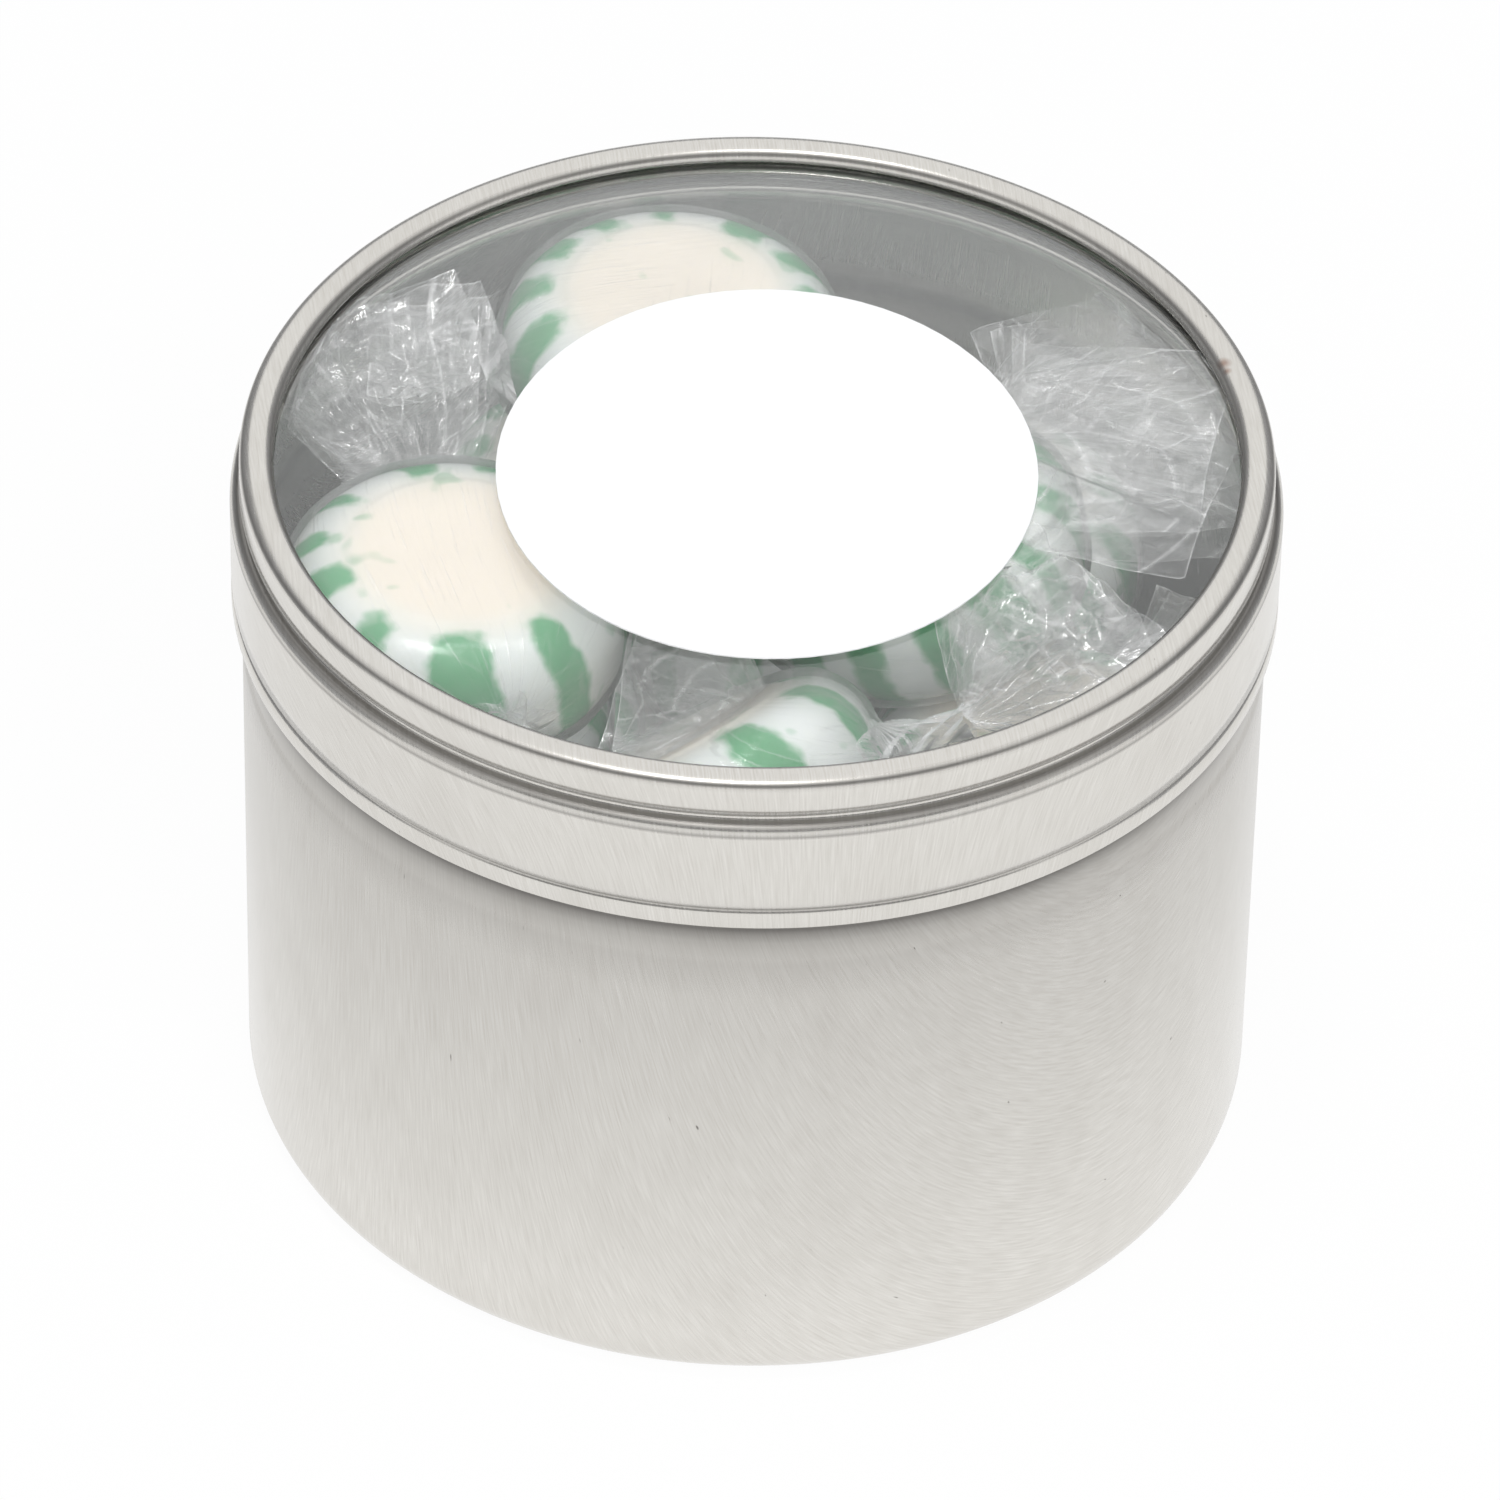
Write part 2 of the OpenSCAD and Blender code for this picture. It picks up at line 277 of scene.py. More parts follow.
def tinplate(name, shade_and_dulling, rust_spots):
    """Cold-rolled tinplate: bright, with a fine straight rolling grain and a few nicks and stains. A table by
    height paints shade into its colour and makes it duller in the same places."""
    grain_width, grain_length, stain = 0.15, 2.8, 9
    metal = bpy.data.materials.new(name)
    metal.use_nodes = True
    tree = metal.node_tree
    shader = tree.nodes["Principled BSDF"]
    flat = add_node(tree, "UVMap", uv_map="blank")
    along = add_node(tree, "Mapping", {"Vector": flat, "Scale": (1 / grain_length, 1 / grain_width, 1)})
    grain = add_node(tree, "TexNoise", {"Vector": along, "Scale": 1.0, "Detail": 2.0})
    cloud = add_node(tree, "TexNoise", {"Vector": flat, "Scale": 1 / stain, "Detail": 3.0})
    nick_place = add_node(tree, "Mapping", {"Vector": flat, "Scale": (1 / 1.1, 1 / 0.35, 1)})
    nick = add_node(tree, "TexNoise", {"Vector": nick_place, "Scale": 1.0, "Detail": 1.0})
    nick_here = add_node(tree, "MapRange", {"Value": nick, "From Min": 0.79, "From Max": 0.84})
    light = add_node(tree, "Mix", {"Factor": grain, 6: srgb("#CCC8C1"), 7: srgb("#EDEBE6")},
                     data_type="RGBA")
    stain_here = add_node(tree, "MapRange", {"Value": cloud, "From Min": 0.45, "From Max": 0.75,
                                             "To Max": 0.15})
    stained = add_node(tree, "Mix", {"Factor": stain_here, 6: light.outputs[2], 7: srgb("#BDB8B0")},
                       data_type="RGBA")
    nicked = add_node(tree, "Mix", {"Factor": nick_here, 6: stained.outputs[2], 7: srgb("#6E6A66")},
                      data_type="RGBA")
    place = add_node(tree, "TexCoord")
    height = add_node(tree, "SeparateXYZ", {"Vector": place.outputs["Object"]})
    level = add_node(tree, "MapRange", {"Value": height.outputs["Z"], "From Max": 60 * MM})
    shaded_and_dull = add_node(tree, "ValToRGB", {"Fac": level})
    ramp = shaded_and_dull.color_ramp
    while len(ramp.elements) < len(shade_and_dulling):
        ramp.elements.new(1.0)
    for stop, (at, amount) in zip(ramp.elements, shade_and_dulling):
        stop.position, stop.color = at / 60, (amount, amount, amount, 1)
    rust = nicked.outputs[2]
    for spot, reach in rust_spots:
        far = add_node(tree, "VectorMath", {0: place.outputs["Object"], 1: Vector(spot) * MM},
                       operation="DISTANCE")
        here = add_node(tree, "MapRange", {"Value": far.outputs["Value"], "From Min": 0.2 * reach * MM,
                                           "From Max": reach * MM, "To Min": 0.6, "To Max": 0.0})
        rust = add_node(tree, "Mix", {"Factor": here, 6: rust, 7: srgb("#8A5A3E")},
                        data_type="RGBA").outputs[2]
    # Painted shade: where the height table is high, the colour darkens towards a near-black brown, and the
    # same mask makes the metal rougher
    painted_shade = add_node(tree, "Mix", {"Factor": shaded_and_dull, 6: rust, 7: srgb("#2A2523")}, data_type="RGBA")
    tree.links.new(painted_shade.outputs[2], shader.inputs["Base Color"])
    polish = add_node(tree, "MapRange", {"Value": grain, "To Min": 0.15, "To Max": 0.24})
    rough = add_node(tree, "Math", {0: shaded_and_dull, 1: 0.3, 2: polish}, operation="MULTIPLY_ADD")
    tree.links.new(rough.outputs[0], shader.inputs["Roughness"])
    bump = add_node(tree, "Bump", {"Height": grain, "Strength": 0.4, "Distance": 0.012 * MM})
    tree.links.new(bump.outputs[0], shader.inputs["Normal"])
    shader.inputs["Metallic"].default_value = 0.75
    return metal


tin = draw_tin()
tin.data.materials.append(tinplate("drawn_tinplate", TIN_SHADE_AND_DULLING, []))
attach(tin, "tin")
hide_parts("tin_body")


# The lid's ring is rolled and pressed from one band of the same tinplate: an inner lip and
# rolled rim, an upper band, the groove that locks the window in, a shoulder, the skirt with a
# fine groove, and a hem folded up inside.
lid_low, lid_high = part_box("lid_ring")

# Painted shade darkens the fine groove, the underside of the shoulder and the two edges of the locking groove,
# and a painted dark reflection lines the rim's outer edge; the table makes these places duller too. Two rust
# spots sit on the rim, as (place, reach) in mm
LID_SHADE_AND_DULLING = [(0, 0.05), (45.7, 0.05), (45.9, 0.65), (46.1, 0.06), (52.6, 0.05), (52.8, 0.7),
            (52.95, 0.15), (53.3, 0.15), (53.45, 0.8), (53.6, 0), (53.95, 0), (54.12, 0.88),
            (54.3, 0.05), (56.45, 0.03), (56.65, 0.6), (56.85, 0.65), (56.93, 0.2), (56.97, 0)]
RUST = [((33.7, 10.9, 57), 0.7), ((33.9, 10, 57), 0.45)]


def draw_lid():
    rim_step, rim_w, lip_round = 0.7 * MM, 2.5 * MM, 0.9 * MM
    crown, edge_round = 1.1 * MM, 0.55 * MM
    shoulder_drop, shoulder_round, lock_groove = 3.5 * MM, 0.8 * MM, 0.3 * MM
    hem_h, hem_groove = 1.7 * MM, 0.2 * MM
    half = sheet / 2
    skirt = lid_high.x - half
    rim = lid_high.x - rim_step
    lip_centre = (rim - rim_w + lip_round, lid_high.z - lip_round)
    shoulder_r = lid_high.x - shoulder_round
    lock_z = lid_high.z - shoulder_drop + lock_groove
    groove_z = lid_low.z + hem_h
    reach = hem_groove + half
    half_turn = math.degrees(math.acos(half / reach))
    bm = bmesh.new()
    tip = sheet_path(bm, (lip_centre[0] - lip_round + half, lip_centre[1]))
    tip = bend_round(bm, tip, lip_centre, -90, 12)
    top = Vector((rim - half - (crown + edge_round) / 2, 0, lid_high.z - half))
    tip = run_to(bm, tip, top.x, top.z)
    tip = bend_round(bm, tip, (top.x, top.z - crown), -30, 6)
    edge = tip.co.lerp(Vector((top.x, 0, top.z - crown)), edge_round / crown)
    tip = bend_round(bm, tip, (edge.x, edge.z), -60, 8)
    tip = run_to(bm, tip, rim - half, lock_z + lock_groove + sheet, 4)
    tip = run_to(bm, tip, rim - half, lock_z + lock_groove + half)
    tip = run_to(bm, tip, shoulder_r, lock_z + lock_groove + half)
    tip = bend_round(bm, tip, (shoulder_r, lock_z), 180, 12)
    tip = bend_round(bm, tip, (shoulder_r, lock_z - lock_groove - shoulder_round), -90, 10)
    tip = run_to(bm, tip, skirt, groove_z + reach * math.sin(math.radians(half_turn)), 6)
    tip = bend_round(bm, tip, (lid_high.x, groove_z), 2 * half_turn, 10)
    tip = run_to(bm, tip, skirt, lid_low.z + sheet, 2)
    tip = bend_round(bm, tip, (lid_high.x - sheet, lid_low.z + sheet), -180, 8)
    run_to(bm, tip, lid_high.x - sheet - half, groove_z - hem_groove - sheet, 2)
    return spin_sheet("lid_band", bm, math.radians(-82))


lid = draw_lid()
lid.data.materials.append(tinplate("pressed_tinplate", LID_SHADE_AND_DULLING, RUST))
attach(lid, "lid")
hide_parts("lid_ring")


# The window is a disc of clear rigid plastic film, pressed with a turned-down edge that
# snaps above the lid's locking groove. It carries a little dust.
def clear_sheet():
    """Clear plastic that lets light straight through and reflects as its slant makes it."""
    clear = bpy.data.materials.new("window_film")
    clear.use_nodes = True
    tree = clear.node_tree
    shader = tree.nodes["Principled BSDF"]
    shader.inputs["Base Color"].default_value = srgb("#F4F6F6")
    shader.inputs["Metallic"].default_value = 1.0
    shader.inputs["Roughness"].default_value = 0.02
    gloss = add_node(tree, "Fresnel", {"IOR": 1.25})
    place = add_node(tree, "TexCoord")
    speck = add_node(tree, "TexVoronoi", {"Vector": place.outputs["Object"], "Scale": 1000 / 2.6})
    patch = add_node(tree, "TexNoise", {"Vector": place.outputs["Object"], "Scale": 1000 / 14})
    size = add_node(tree, "MapRange", {"Value": patch, "From Min": 0.5, "From Max": 0.75,
                                       "To Max": 0.045})
    dust = add_node(tree, "Math", {0: speck.outputs["Distance"], 1: size}, operation="LESS_THAN")
    cover = add_node(tree, "Math", {0: dust, 1: 0.3, 2: gloss}, operation="MULTIPLY_ADD")
    tree.links.new(cover.outputs[0], shader.inputs["Alpha"])
    return clear


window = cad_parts["lid_window"]
window.data.materials.clear()
window.data.materials.append(clear_sheet())


# The label is an oval of white paper, stuck on the window and left blank.
def label_paper():
    paper = bpy.data.materials.new("label_paper")
    paper.use_nodes = True
    tree = paper.node_tree
    shader = tree.nodes["Principled BSDF"]
    place = add_node(tree, "TexCoord")
    fibre = add_node(tree, "TexNoise", {"Vector": place.outputs["Object"], "Scale": 4000.0})
    tone = add_node(tree, "Mix", {"Factor": fibre, 6: srgb("#FAFAFA"), 7: srgb("#FFFFFF")},
                    data_type="RGBA")
    tree.links.new(tone.outputs[2], shader.inputs["Base Color"])
    bump = add_node(tree, "Bump", {"Height": fibre, "Strength": 0.1, "Distance": 0.01 * MM})
    tree.links.new(bump.outputs[0], shader.inputs["Normal"])
    shader.inputs["Roughness"].default_value = 0.7
    path = add_node(tree, "LightPath")
    shade = add_node(tree, "MapRange", {"Value": path.outputs["Is Shadow Ray"], "To Min": 1.0, "To Max": 0.22})
    tree.links.new(shade.outputs[0], shader.inputs["Alpha"])
    return paper


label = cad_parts["label"]
label.data.materials.clear()
label.data.materials.append(label_paper())


# The mints are pressed from boiled sugar: a creamy middle, a white rim and a ring of green
# stripes that start on the face and run over the edge. Each sits in its own wrapper.
mint_r, mint_h, mint_round = 12.5 * MM, 5.7 * MM, 4.4 * MM
face_r, face_rise = 7.5 * MM, 0.25 * MM
LEANS = {"top_left": (3, -2), "top_back": (1, 0), "top_front": (-33, 32), "top_right": (-11, -2)}


def mint_seat(name):
    """Where a mint lies: its middle from the CAD node's box, and how it leans or is turned."""
    low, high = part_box("mint_" + name)
    middle = (low + high) / 2
    if name in LEANS:
        lean = [math.tan(math.radians(a)) for a in LEANS[name]]
        turn = Vector((0, 0, 1)).rotation_difference(Vector((*lean, 1))).to_matrix().to_4x4()
    else:
        turn = Matrix.Rotation(math.atan2(middle.y, middle.x), 4, "Z")
    return Matrix.Translation(middle) @ turn


# Green stripes of the mints that show, each with its middle angle and half width in degrees,
# the radius where it starts on the face, and how far it slants on its way down the side
STRIPES = {
    "top_left": [(78, 7, 9.0, 4), (108, 8, 8.5, 4), (146, 6, 8.8, 3), (174, 5.5, 8.6, 3),
                 (-160, 8.5, 8.2, 2), (-125, 7.5, 8.7, 4), (-88, 13, 8.5, 5), (-49, 7.5, 8.4, 5),
                 (-8, 9, 8.6, 4), (20, 8, 8.6, 4), (50, 8, 8.8, 4)],
    "top_back": [(-156, 8, 8.6, 4), (175, 8, 8.8, 4), (147, 9, 8.8, 4), (122, 8, 8.2, 4),
                 (95, 5, 8.2, 3), (57, 11, 8.0, 4), (27, 9, 8.6, 4), (0, 8, 8.6, 4),
                 (-27, 8, 8.8, 4), (-54, 7, 8.4, 4), (-82, 9, 8.8, 4), (-118, 9, 8.4, 4)],
    "top_front": [(28, 9, 7.6, 0), (-14, 8, 8.6, 4), (-56, 9, 8.4, 5), (-92, 8, 8.6, 4),
                  (-124, 8, 8.6, 4), (-158, 8, 8.4, 4), (168, 8, 8.6, 4), (134, 8, 8.8, 4),
                  (98, 8, 8.6, 4), (62, 8, 8.2, 4)],
    "top_right": [(-84, 6, 8.6, 6), (-60, 9, 8.4, 8), (-38, 5, 8.8, 8), (-108, 6, 8.8, 4),
                  (-134, 8, 8.4, 4), (-162, 8, 8.6, 4), (170, 8, 8.6, 4), (140, 8, 8.4, 4),
                  (112, 8, 8.6, 4), (84, 8, 8.6, 4), (52, 9, 8.2, 4), (22, 8, 8.6, 4), (-8, 8, 8.6, 4)],
}


def loose_stripes(rng):
    """Stripes of a mint that hardly shows: about a dozen, none quite alike."""
    count = rng.choice((11, 12, 13))
    return [(360 * k / count + rng.uniform(-4, 4), rng.uniform(6, 10), rng.uniform(7.8, 9.4),
             rng.uniform(2, 7)) for k in range(count)]


def press_mint(name, seat, steps):
    """Spins a mint, gives it the unevenness of hand-cut sugar, and marks its stripes in mm."""
    rng = random.Random(name)
    stripes = STRIPES.get(name) or loose_stripes(rng)
    bm = bmesh.new()
    tip = bm.verts.new((0, 0, mint_h))
    rows = [(face_r * k / 5, mint_h) for k in range(1, 6)]
    rows += [(face_r + MM * k, mint_h - face_rise * (1 - math.cos(math.pi * k)) / 2)
             for k in (0.25, 0.5, 0.75, 1)]
    rounds = [math.radians(90 * k / 10) for k in range(11)]
    flat = mint_r - mint_round
    rows += [(max(flat + mint_round * math.sin(a), face_r + 1.05 * MM),
              mint_h - face_rise - mint_round * (1 - math.cos(a))) for a in rounds[1:]]
    rows += [(r, -z) for r, z in reversed(rows)]
    for radius, height in rows:
        new = bm.verts.new((radius, 0, height))
        bm.edges.new((tip, new))
        tip = new
    bm.edges.new((tip, bm.verts.new((0, 0, -mint_h))))
    bmesh.ops.spin(bm, geom=bm.verts[:] + bm.edges[:], cent=(0, 0, 0), axis=(0, 0, 1),
                   dvec=(0, 0, 0), angle=math.tau, steps=steps, use_merge=True)
    bmesh.ops.remove_doubles(bm, verts=bm.verts, dist=1e-6)
    bmesh.ops.recalc_face_normals(bm, faces=bm.faces)
    green = bm.verts.layers.float.new("stripe")
    middle = bm.verts.layers.float.new("out")
    shift = Vector((rng.uniform(0, 9), rng.uniform(0, 9), rng.uniform(0, 9)))
    for vert in bm.verts:
        x, y, z = vert.co
        radius = math.hypot(x, y)
        angle = math.degrees(math.atan2(y, x))
        down = (mint_h - z) / MM
        edge = -9.0
        for at, half, start, slant in stripes:
            off = abs((angle - at - slant * down / 6 + 180) % 360 - 180)
            side = math.radians(half - off) * radius / MM
            inner = (radius / MM - start) * 0.8 if z > 0 else down - 5
            corner = min(side, inner, 1.2)
            round_off = 0.35 * math.exp(-abs(side - inner) / 0.5)
            edge = max(edge, corner - round_off)
        vert[green] = edge
        vert[middle] = radius / MM if z > -mint_h + face_rise else 12
        vert.co *= 1 + 0.008 * noise.noise(vert.co * 180 + shift)
    bmesh.ops.transform(bm, matrix=seat, verts=bm.verts)
    return finish_mesh("sugar_" + name, bm)


def boiled_sugar():
    """Boiled sugar pulled with air: milky, smooth and slightly see-through, with a soft gloss."""
    sugar = bpy.data.materials.new("boiled_sugar")
    sugar.use_nodes = True
    tree = sugar.node_tree
    shader = tree.nodes["Principled BSDF"]
    place = add_node(tree, "TexCoord")
    blur = add_node(tree, "TexNoise", {"Vector": place.outputs["Object"], "Scale": 500.0, "Detail": 2.0})
    stripe = add_node(tree, "Attribute", attribute_name="stripe")
    out = add_node(tree, "Attribute", attribute_name="out")
    wobble = add_node(tree, "MapRange", {"Value": blur, "To Min": -0.8, "To Max": 0.8})
    edge = add_node(tree, "Math", {0: stripe.outputs["Fac"], 1: wobble}, operation="ADD")
    green = add_node(tree, "MapRange", {"Value": edge, "From Min": -0.35, "From Max": 0.5},
                     interpolation_type="SMOOTHSTEP")
    ring = add_node(tree, "MapRange", {"Value": out.outputs["Fac"], "From Min": 6.5, "From Max": 10.5},
                    interpolation_type="SMOOTHSTEP")
    pale = add_node(tree, "Mix", {"Factor": ring, 6: srgb("#F6EFE4"), 7: srgb("#EDF0EE")},
                    data_type="RGBA")
    dye = add_node(tree, "Mix", {"Factor": blur, 6: srgb("#3A9A60"), 7: srgb("#66B884")},
                   data_type="RGBA")
    fleck = add_node(tree, "TexNoise", {"Vector": place.outputs["Object"], "Scale": 330.0, "Detail": 1.0})
    flecks = add_node(tree, "MapRange", {"Value": fleck, "From Min": 0.66, "From Max": 0.73, "To Max": 0.45})
    dyed = add_node(tree, "Math", {0: green, 1: flecks}, operation="MAXIMUM")
    colour = add_node(tree, "Mix", {"Factor": dyed, 6: pale.outputs[2], 7: dye.outputs[2]},
                      data_type="RGBA")
    tree.links.new(colour.outputs[2], shader.inputs["Base Color"])
    shader.inputs["Roughness"].default_value = 0.22
    shader.inputs["Subsurface Weight"].default_value = 0.25
    shader.inputs["Subsurface Radius"].default_value = (1.6, 1.6, 1.3)
    shader.inputs["Subsurface Scale"].default_value = MM
    return sugar


mint_names = [n[5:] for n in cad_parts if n.startswith("mint_")]
sugar = boiled_sugar()
for name in sorted(mint_names):
    mint = press_mint(name, mint_seat(name), 192 if name in STRIPES else 96)
    mint.data.materials.append(sugar)
    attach(mint, "tin")
    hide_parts("mint_" + name)


# Each mint is rolled in a square of clear cellulose film, and the two ends are twisted shut and
# flare out beyond the twist. The film is tight and smooth over the faces, gathers into folds
# that run to the twists, and is crumpled where it flares. It only lies round its mint.
film_gap = 0.35 * MM

# Ends of the wrappers that show: direction round the mint, height above its middle, length and
# half width of the gathered neck, then the flare's heading and climb in the tin, its reach,
# half width, spread in degrees and volume
ENDS = {
    "top_left": [(102, -0.8, 1.5, 4.2, 106, 14, 17, 10, 84, 1.9),
                 (-72, 0.5, 1.5, 0.9, -72, 0, 4, 3, 60, 0.8)],
    "top_back": [(195, 1, 1.5, 2, 180, 6, 9, 6, 90, 1.4), (265, 1, 1.5, 1, 265, 0, 6, 4, 50, 1.0)],
    "top_front": [(-10, -2, 7, 0.9, 32, -8, 18, 13, 124, 2.2), (180, 0, 1.5, 1, 188, -30, 4, 3, 50, 0.8)],
    "top_right": [(60, -1.5, 1.5, 4, 4, 2, 17, 13.5, 180, 0.9), (200, 1, 1.5, 1, 200, 0, 3, 3, 50, 0.8)],
}
# Loose corners of film that lie over a mint: place in the tin in mm, then heading, climb, reach,
# half width, spread and volume
CORNERS = {
    "top_right": [((15, 6, 53.9), -10, -2, 19, 11, 150, 0.5)],
    "top_front": [((1, -21, 49.5), 172, 0, 11, 7, 140, 0.9)],
}
POCKET_ENDS = [(83.3, 2.6, 1.5, 0.9, None, 0, 7, 3, 44, 0.5),
               (-83.3, -2.6, 1.5, 0.9, None, 0, 7, 3, 44, 0.5)]


def fold(x):
    """Straight zigzag from -1 to 1, as a creased sheet runs."""
    return abs(x % 2 - 1) * 2 - 1


def film_pouch(bm, ends, steps, shift):
    """The part of the film that lies round the mint, drawn out a little towards each twist."""
    reach, half = mint_r + film_gap, mint_h + film_gap
    corner = mint_round + film_gap
    tip = bm.verts.new((0, 0, half))
    flat = reach - corner
    rows = [(flat * k / 10, half) for k in range(1, 11)]
    rows += [(flat + corner * math.sin(a), half - corner * (1 - math.cos(a)))
             for a in (math.radians(90 * k / 14) for k in range(1, 15))]
    rows += [(r, -z) for r, z in reversed(rows)]
    for radius, height in rows:
        new = bm.verts.new((radius, 0, height))
        bm.edges.new((tip, new))
        tip = new
    bm.edges.new((tip, bm.verts.new((0, 0, -half))))
    bmesh.ops.spin(bm, geom=bm.verts[:] + bm.edges[:], cent=(0, 0, 0), axis=(0, 0, 1),
                   dvec=(0, 0, 0), angle=math.tau, steps=steps, use_merge=True)
    bmesh.ops.remove_doubles(bm, verts=bm.verts, dist=1e-6)
    bmesh.ops.recalc_face_normals(bm, faces=bm.faces)
    crumple = bm.verts.layers.float["crumple"]
    for vert in bm.verts:
        angle = math.atan2(vert.co.y, vert.co.x)
        out = Vector((vert.co.x, vert.co.y, 0)) / reach
        lift, loose = 0, 0
        for end in ends:
            swing = (angle - math.radians(end[0]) + math.pi) % math.tau - math.pi
            across, high = swing * out.length * reach / MM, vert.co.z / MM - end[1]
            away = math.hypot(across, high) + (1 - out.length) * reach / MM
            fan = math.atan2(high, across)
            pleat = fold(4 * fan + 1.6 * noise.noise(Vector((fan * 2, end[0], 3))))
            near = math.exp(-(away / 7) ** 2)
            lift += 1.2 * math.exp(-(away / 2.4) ** 2) + 0.35 * math.exp(-(away / 5) ** 2)
            lift += 0.13 * pleat * near
            loose = max(loose, near)
        slack = noise.noise(vert.co * 160 + shift) + 0.4 * noise.noise(vert.co * 420 + shift)
        push = (lift + (0.1 + 0.3 * loose) * slack) * MM
        vert[crumple] = 0.7 * loose
        vert.co += (out + Vector((0, 0, vert.co.z / half * (1 - loose)))).normalized() * push


def twist_neck(bm, end, home):
    """The twisted neck: a ruffled tube that narrows from the mint's edge to the twist."""
    neck, base = end[2:4]
    crumple = bm.verts.layers.float["crumple"]
    start, stop = mint_r + 0.4 * MM, mint_r + (0.75 + neck) * MM
    tube = bmesh.ops.create_grid(bm, x_segments=10 + round(neck * 5), y_segments=48, size=0.5)["verts"]
    for vert in tube:
        along, turned = vert.co.x + 0.5, (vert.co.y + 0.5) * math.tau
        wide = 0.85 + 2.2 * (1 - along) ** 2 + 0.5 * along ** 6
        ruffle = 1 + 0.3 * fold(turned * 5 / math.pi + 0.8 * along * neck) \
            + 0.18 * fold(turned * 2 / math.pi + 1.3 * along + 0.4)
        vert.co = Vector((start + (stop - start) * along,
                          (wide + base - 0.9) * ruffle * math.cos(turned) * MM,
                          0.85 * wide * ruffle * math.sin(turned) * MM))
        vert[crumple] = 1
    bmesh.ops.transform(bm, matrix=home, verts=tube)


def flare(bm, end, root, fine, shift, layer):
    """One layer of the film beyond a twist: a piece with straight cut edges, pleated from the
    twist outwards and crumpled into flat facets and little stars."""
    base, heading, climb, reach, half_width, spread, volume = end[3:]
    crumple = bm.verts.layers.float["crumple"]
    white = bm.verts.layers.float["white"]
    rng = random.Random(str((end, layer)))
    pleats = spread / rng.uniform(24, 30) * min(1.6, volume)
    coarse = min(1.5, 1.35 / volume)
    creases = [(rng.uniform(0, math.tau), size * coarse, rng.uniform(0, 2))
               for size in (9, 6.5, 4.2, 2.8, 1.8)]
    stars = [(Vector((rng.uniform(0.25, 0.95) * reach, rng.uniform(-0.8, 0.8) * half_width)),
              rng.choice((2, 3, 3, 4)), rng.uniform(0, 2), rng.uniform(0.8, 2.2)) for _ in range(8)]
    cloth = bmesh.ops.create_grid(bm, x_segments=fine, y_segments=round(fine * 1.3), size=0.5)["verts"]
    for vert in cloth:
        v, u = vert.co.x + 0.5, vert.co.y * 2
        swing = math.radians(spread / 2) * u
        cut = min(reach / max(math.cos(swing), 0.05), half_width / max(abs(math.sin(swing)), 0.05))
        ragged = 1 - 0.05 * layer + 0.05 * noise.noise(Vector((u * 2, layer * 5, reach)))
        out = v * cut * ragged
        flat = Vector((out * math.cos(swing), out * math.sin(swing) + base * u * (1 - v)))
        bent = Vector((*flat, layer * 9)) * 0.16 + shift
        warped = flat + Vector((noise.noise(bent), noise.noise(bent + Vector((5, 5, 5))))) * 1.3
        # The glint line gathers painted highlights along the pleats, creases and stars
        rise, glint_line = 0, 0
        phase = pleats * (u + 0.3 * noise.noise(Vector((u * 2, v * 1.5, layer + reach))))
        height = 0.55 * min(1, 3 * v) * (1 - 0.45 * v)
        rise += height * fold(phase)
        glint_line = max(glint_line, height * (abs(fold(phase)) - 0.9) * 10)
        for turn, size, offset in creases:
            step = (warped.x * math.cos(turn) + warped.y * math.sin(turn)) / size + offset
            rise += 0.07 * size * fold(step) * min(1, 2.5 * v)
            glint_line = max(glint_line, 0.35 * (abs(fold(step)) - 0.94) * 16)
        for place, arms, offset, wide in stars:
            arm = warped - place
            dent = math.exp(-arm.length / wide) * min(1, arm.length / 0.4)
            point = fold(arms * math.atan2(arm.y, arm.x) / math.pi + offset)
            rise += 0.5 * dent * point
            glint_line = max(glint_line, dent * (abs(point) - 0.85) * 8)
        rise = rise * volume * 0.5 + 0.5 * (layer - 0.5) * min(1, 2 * v)
        vert.co = Vector((flat.x, flat.y, rise)) * MM
        vert[crumple] = 1
        # Painted highlights: the cut edges go fully white in the "white" layer, the crease lines partly
        border = max(abs(u), v) > 0.996
        vert[white] = 1.0 if border and v > 0.15 else min(0.6, glint_line)
    turned = Matrix.Rotation(math.radians(heading + 7 * (layer - 0.5)), 4, "Z") \
        @ Matrix.Rotation(math.radians(-climb - 5 * layer), 4, "Y")
    bmesh.ops.transform(bm, matrix=Matrix.Translation(root) @ turned, verts=cloth)
    return cloth


def settle(cloth, own, others):
    """Moves film that would run into the tin, the window or another mint clear of it."""
    solids = [(seat.inverted(), seat, mint_r + 0.6 * MM, mint_h + 0.6 * MM) for seat in others]
    solids.append((own.inverted(), own, mint_r + 0.3 * MM, mint_h + 0.3 * MM))
    for vert in cloth:
        for back, seat, reach, half in solids:
            near = back @ vert.co
            rho = math.hypot(near.x, near.y)
            side, top = rho - (reach - mint_round), abs(near.z) - (half - mint_round)
            if side < -mint_round and top < 0 or side > mint_round or top > mint_round:
                continue
            depth = math.hypot(max(side, 0), max(top, 0)) - mint_round
            if side <= 0 and top <= 0 or depth >= 0:
                continue
            away = Vector((near.x / rho * max(side, 0), near.y / rho * max(side, 0),
                           math.copysign(max(top, 0), near.z))).normalized()
            vert.co = seat @ (near - away * depth)
        rho = math.hypot(vert.co.x, vert.co.y)
        room = 36.4 * MM if vert.co.z < 51 * MM else 35.3 * MM
        if rho > room:
            squeeze = (room - 0.15 * (rho - room)) / rho
            vert.co.x, vert.co.y = vert.co.x * squeeze, vert.co.y * squeeze
            vert.co.z += 0.3 * (rho - room)
        if vert.co.z > 55.3 * MM:
            vert.co.z = 55.3 * MM - 0.2 * (vert.co.z - 55.3 * MM)


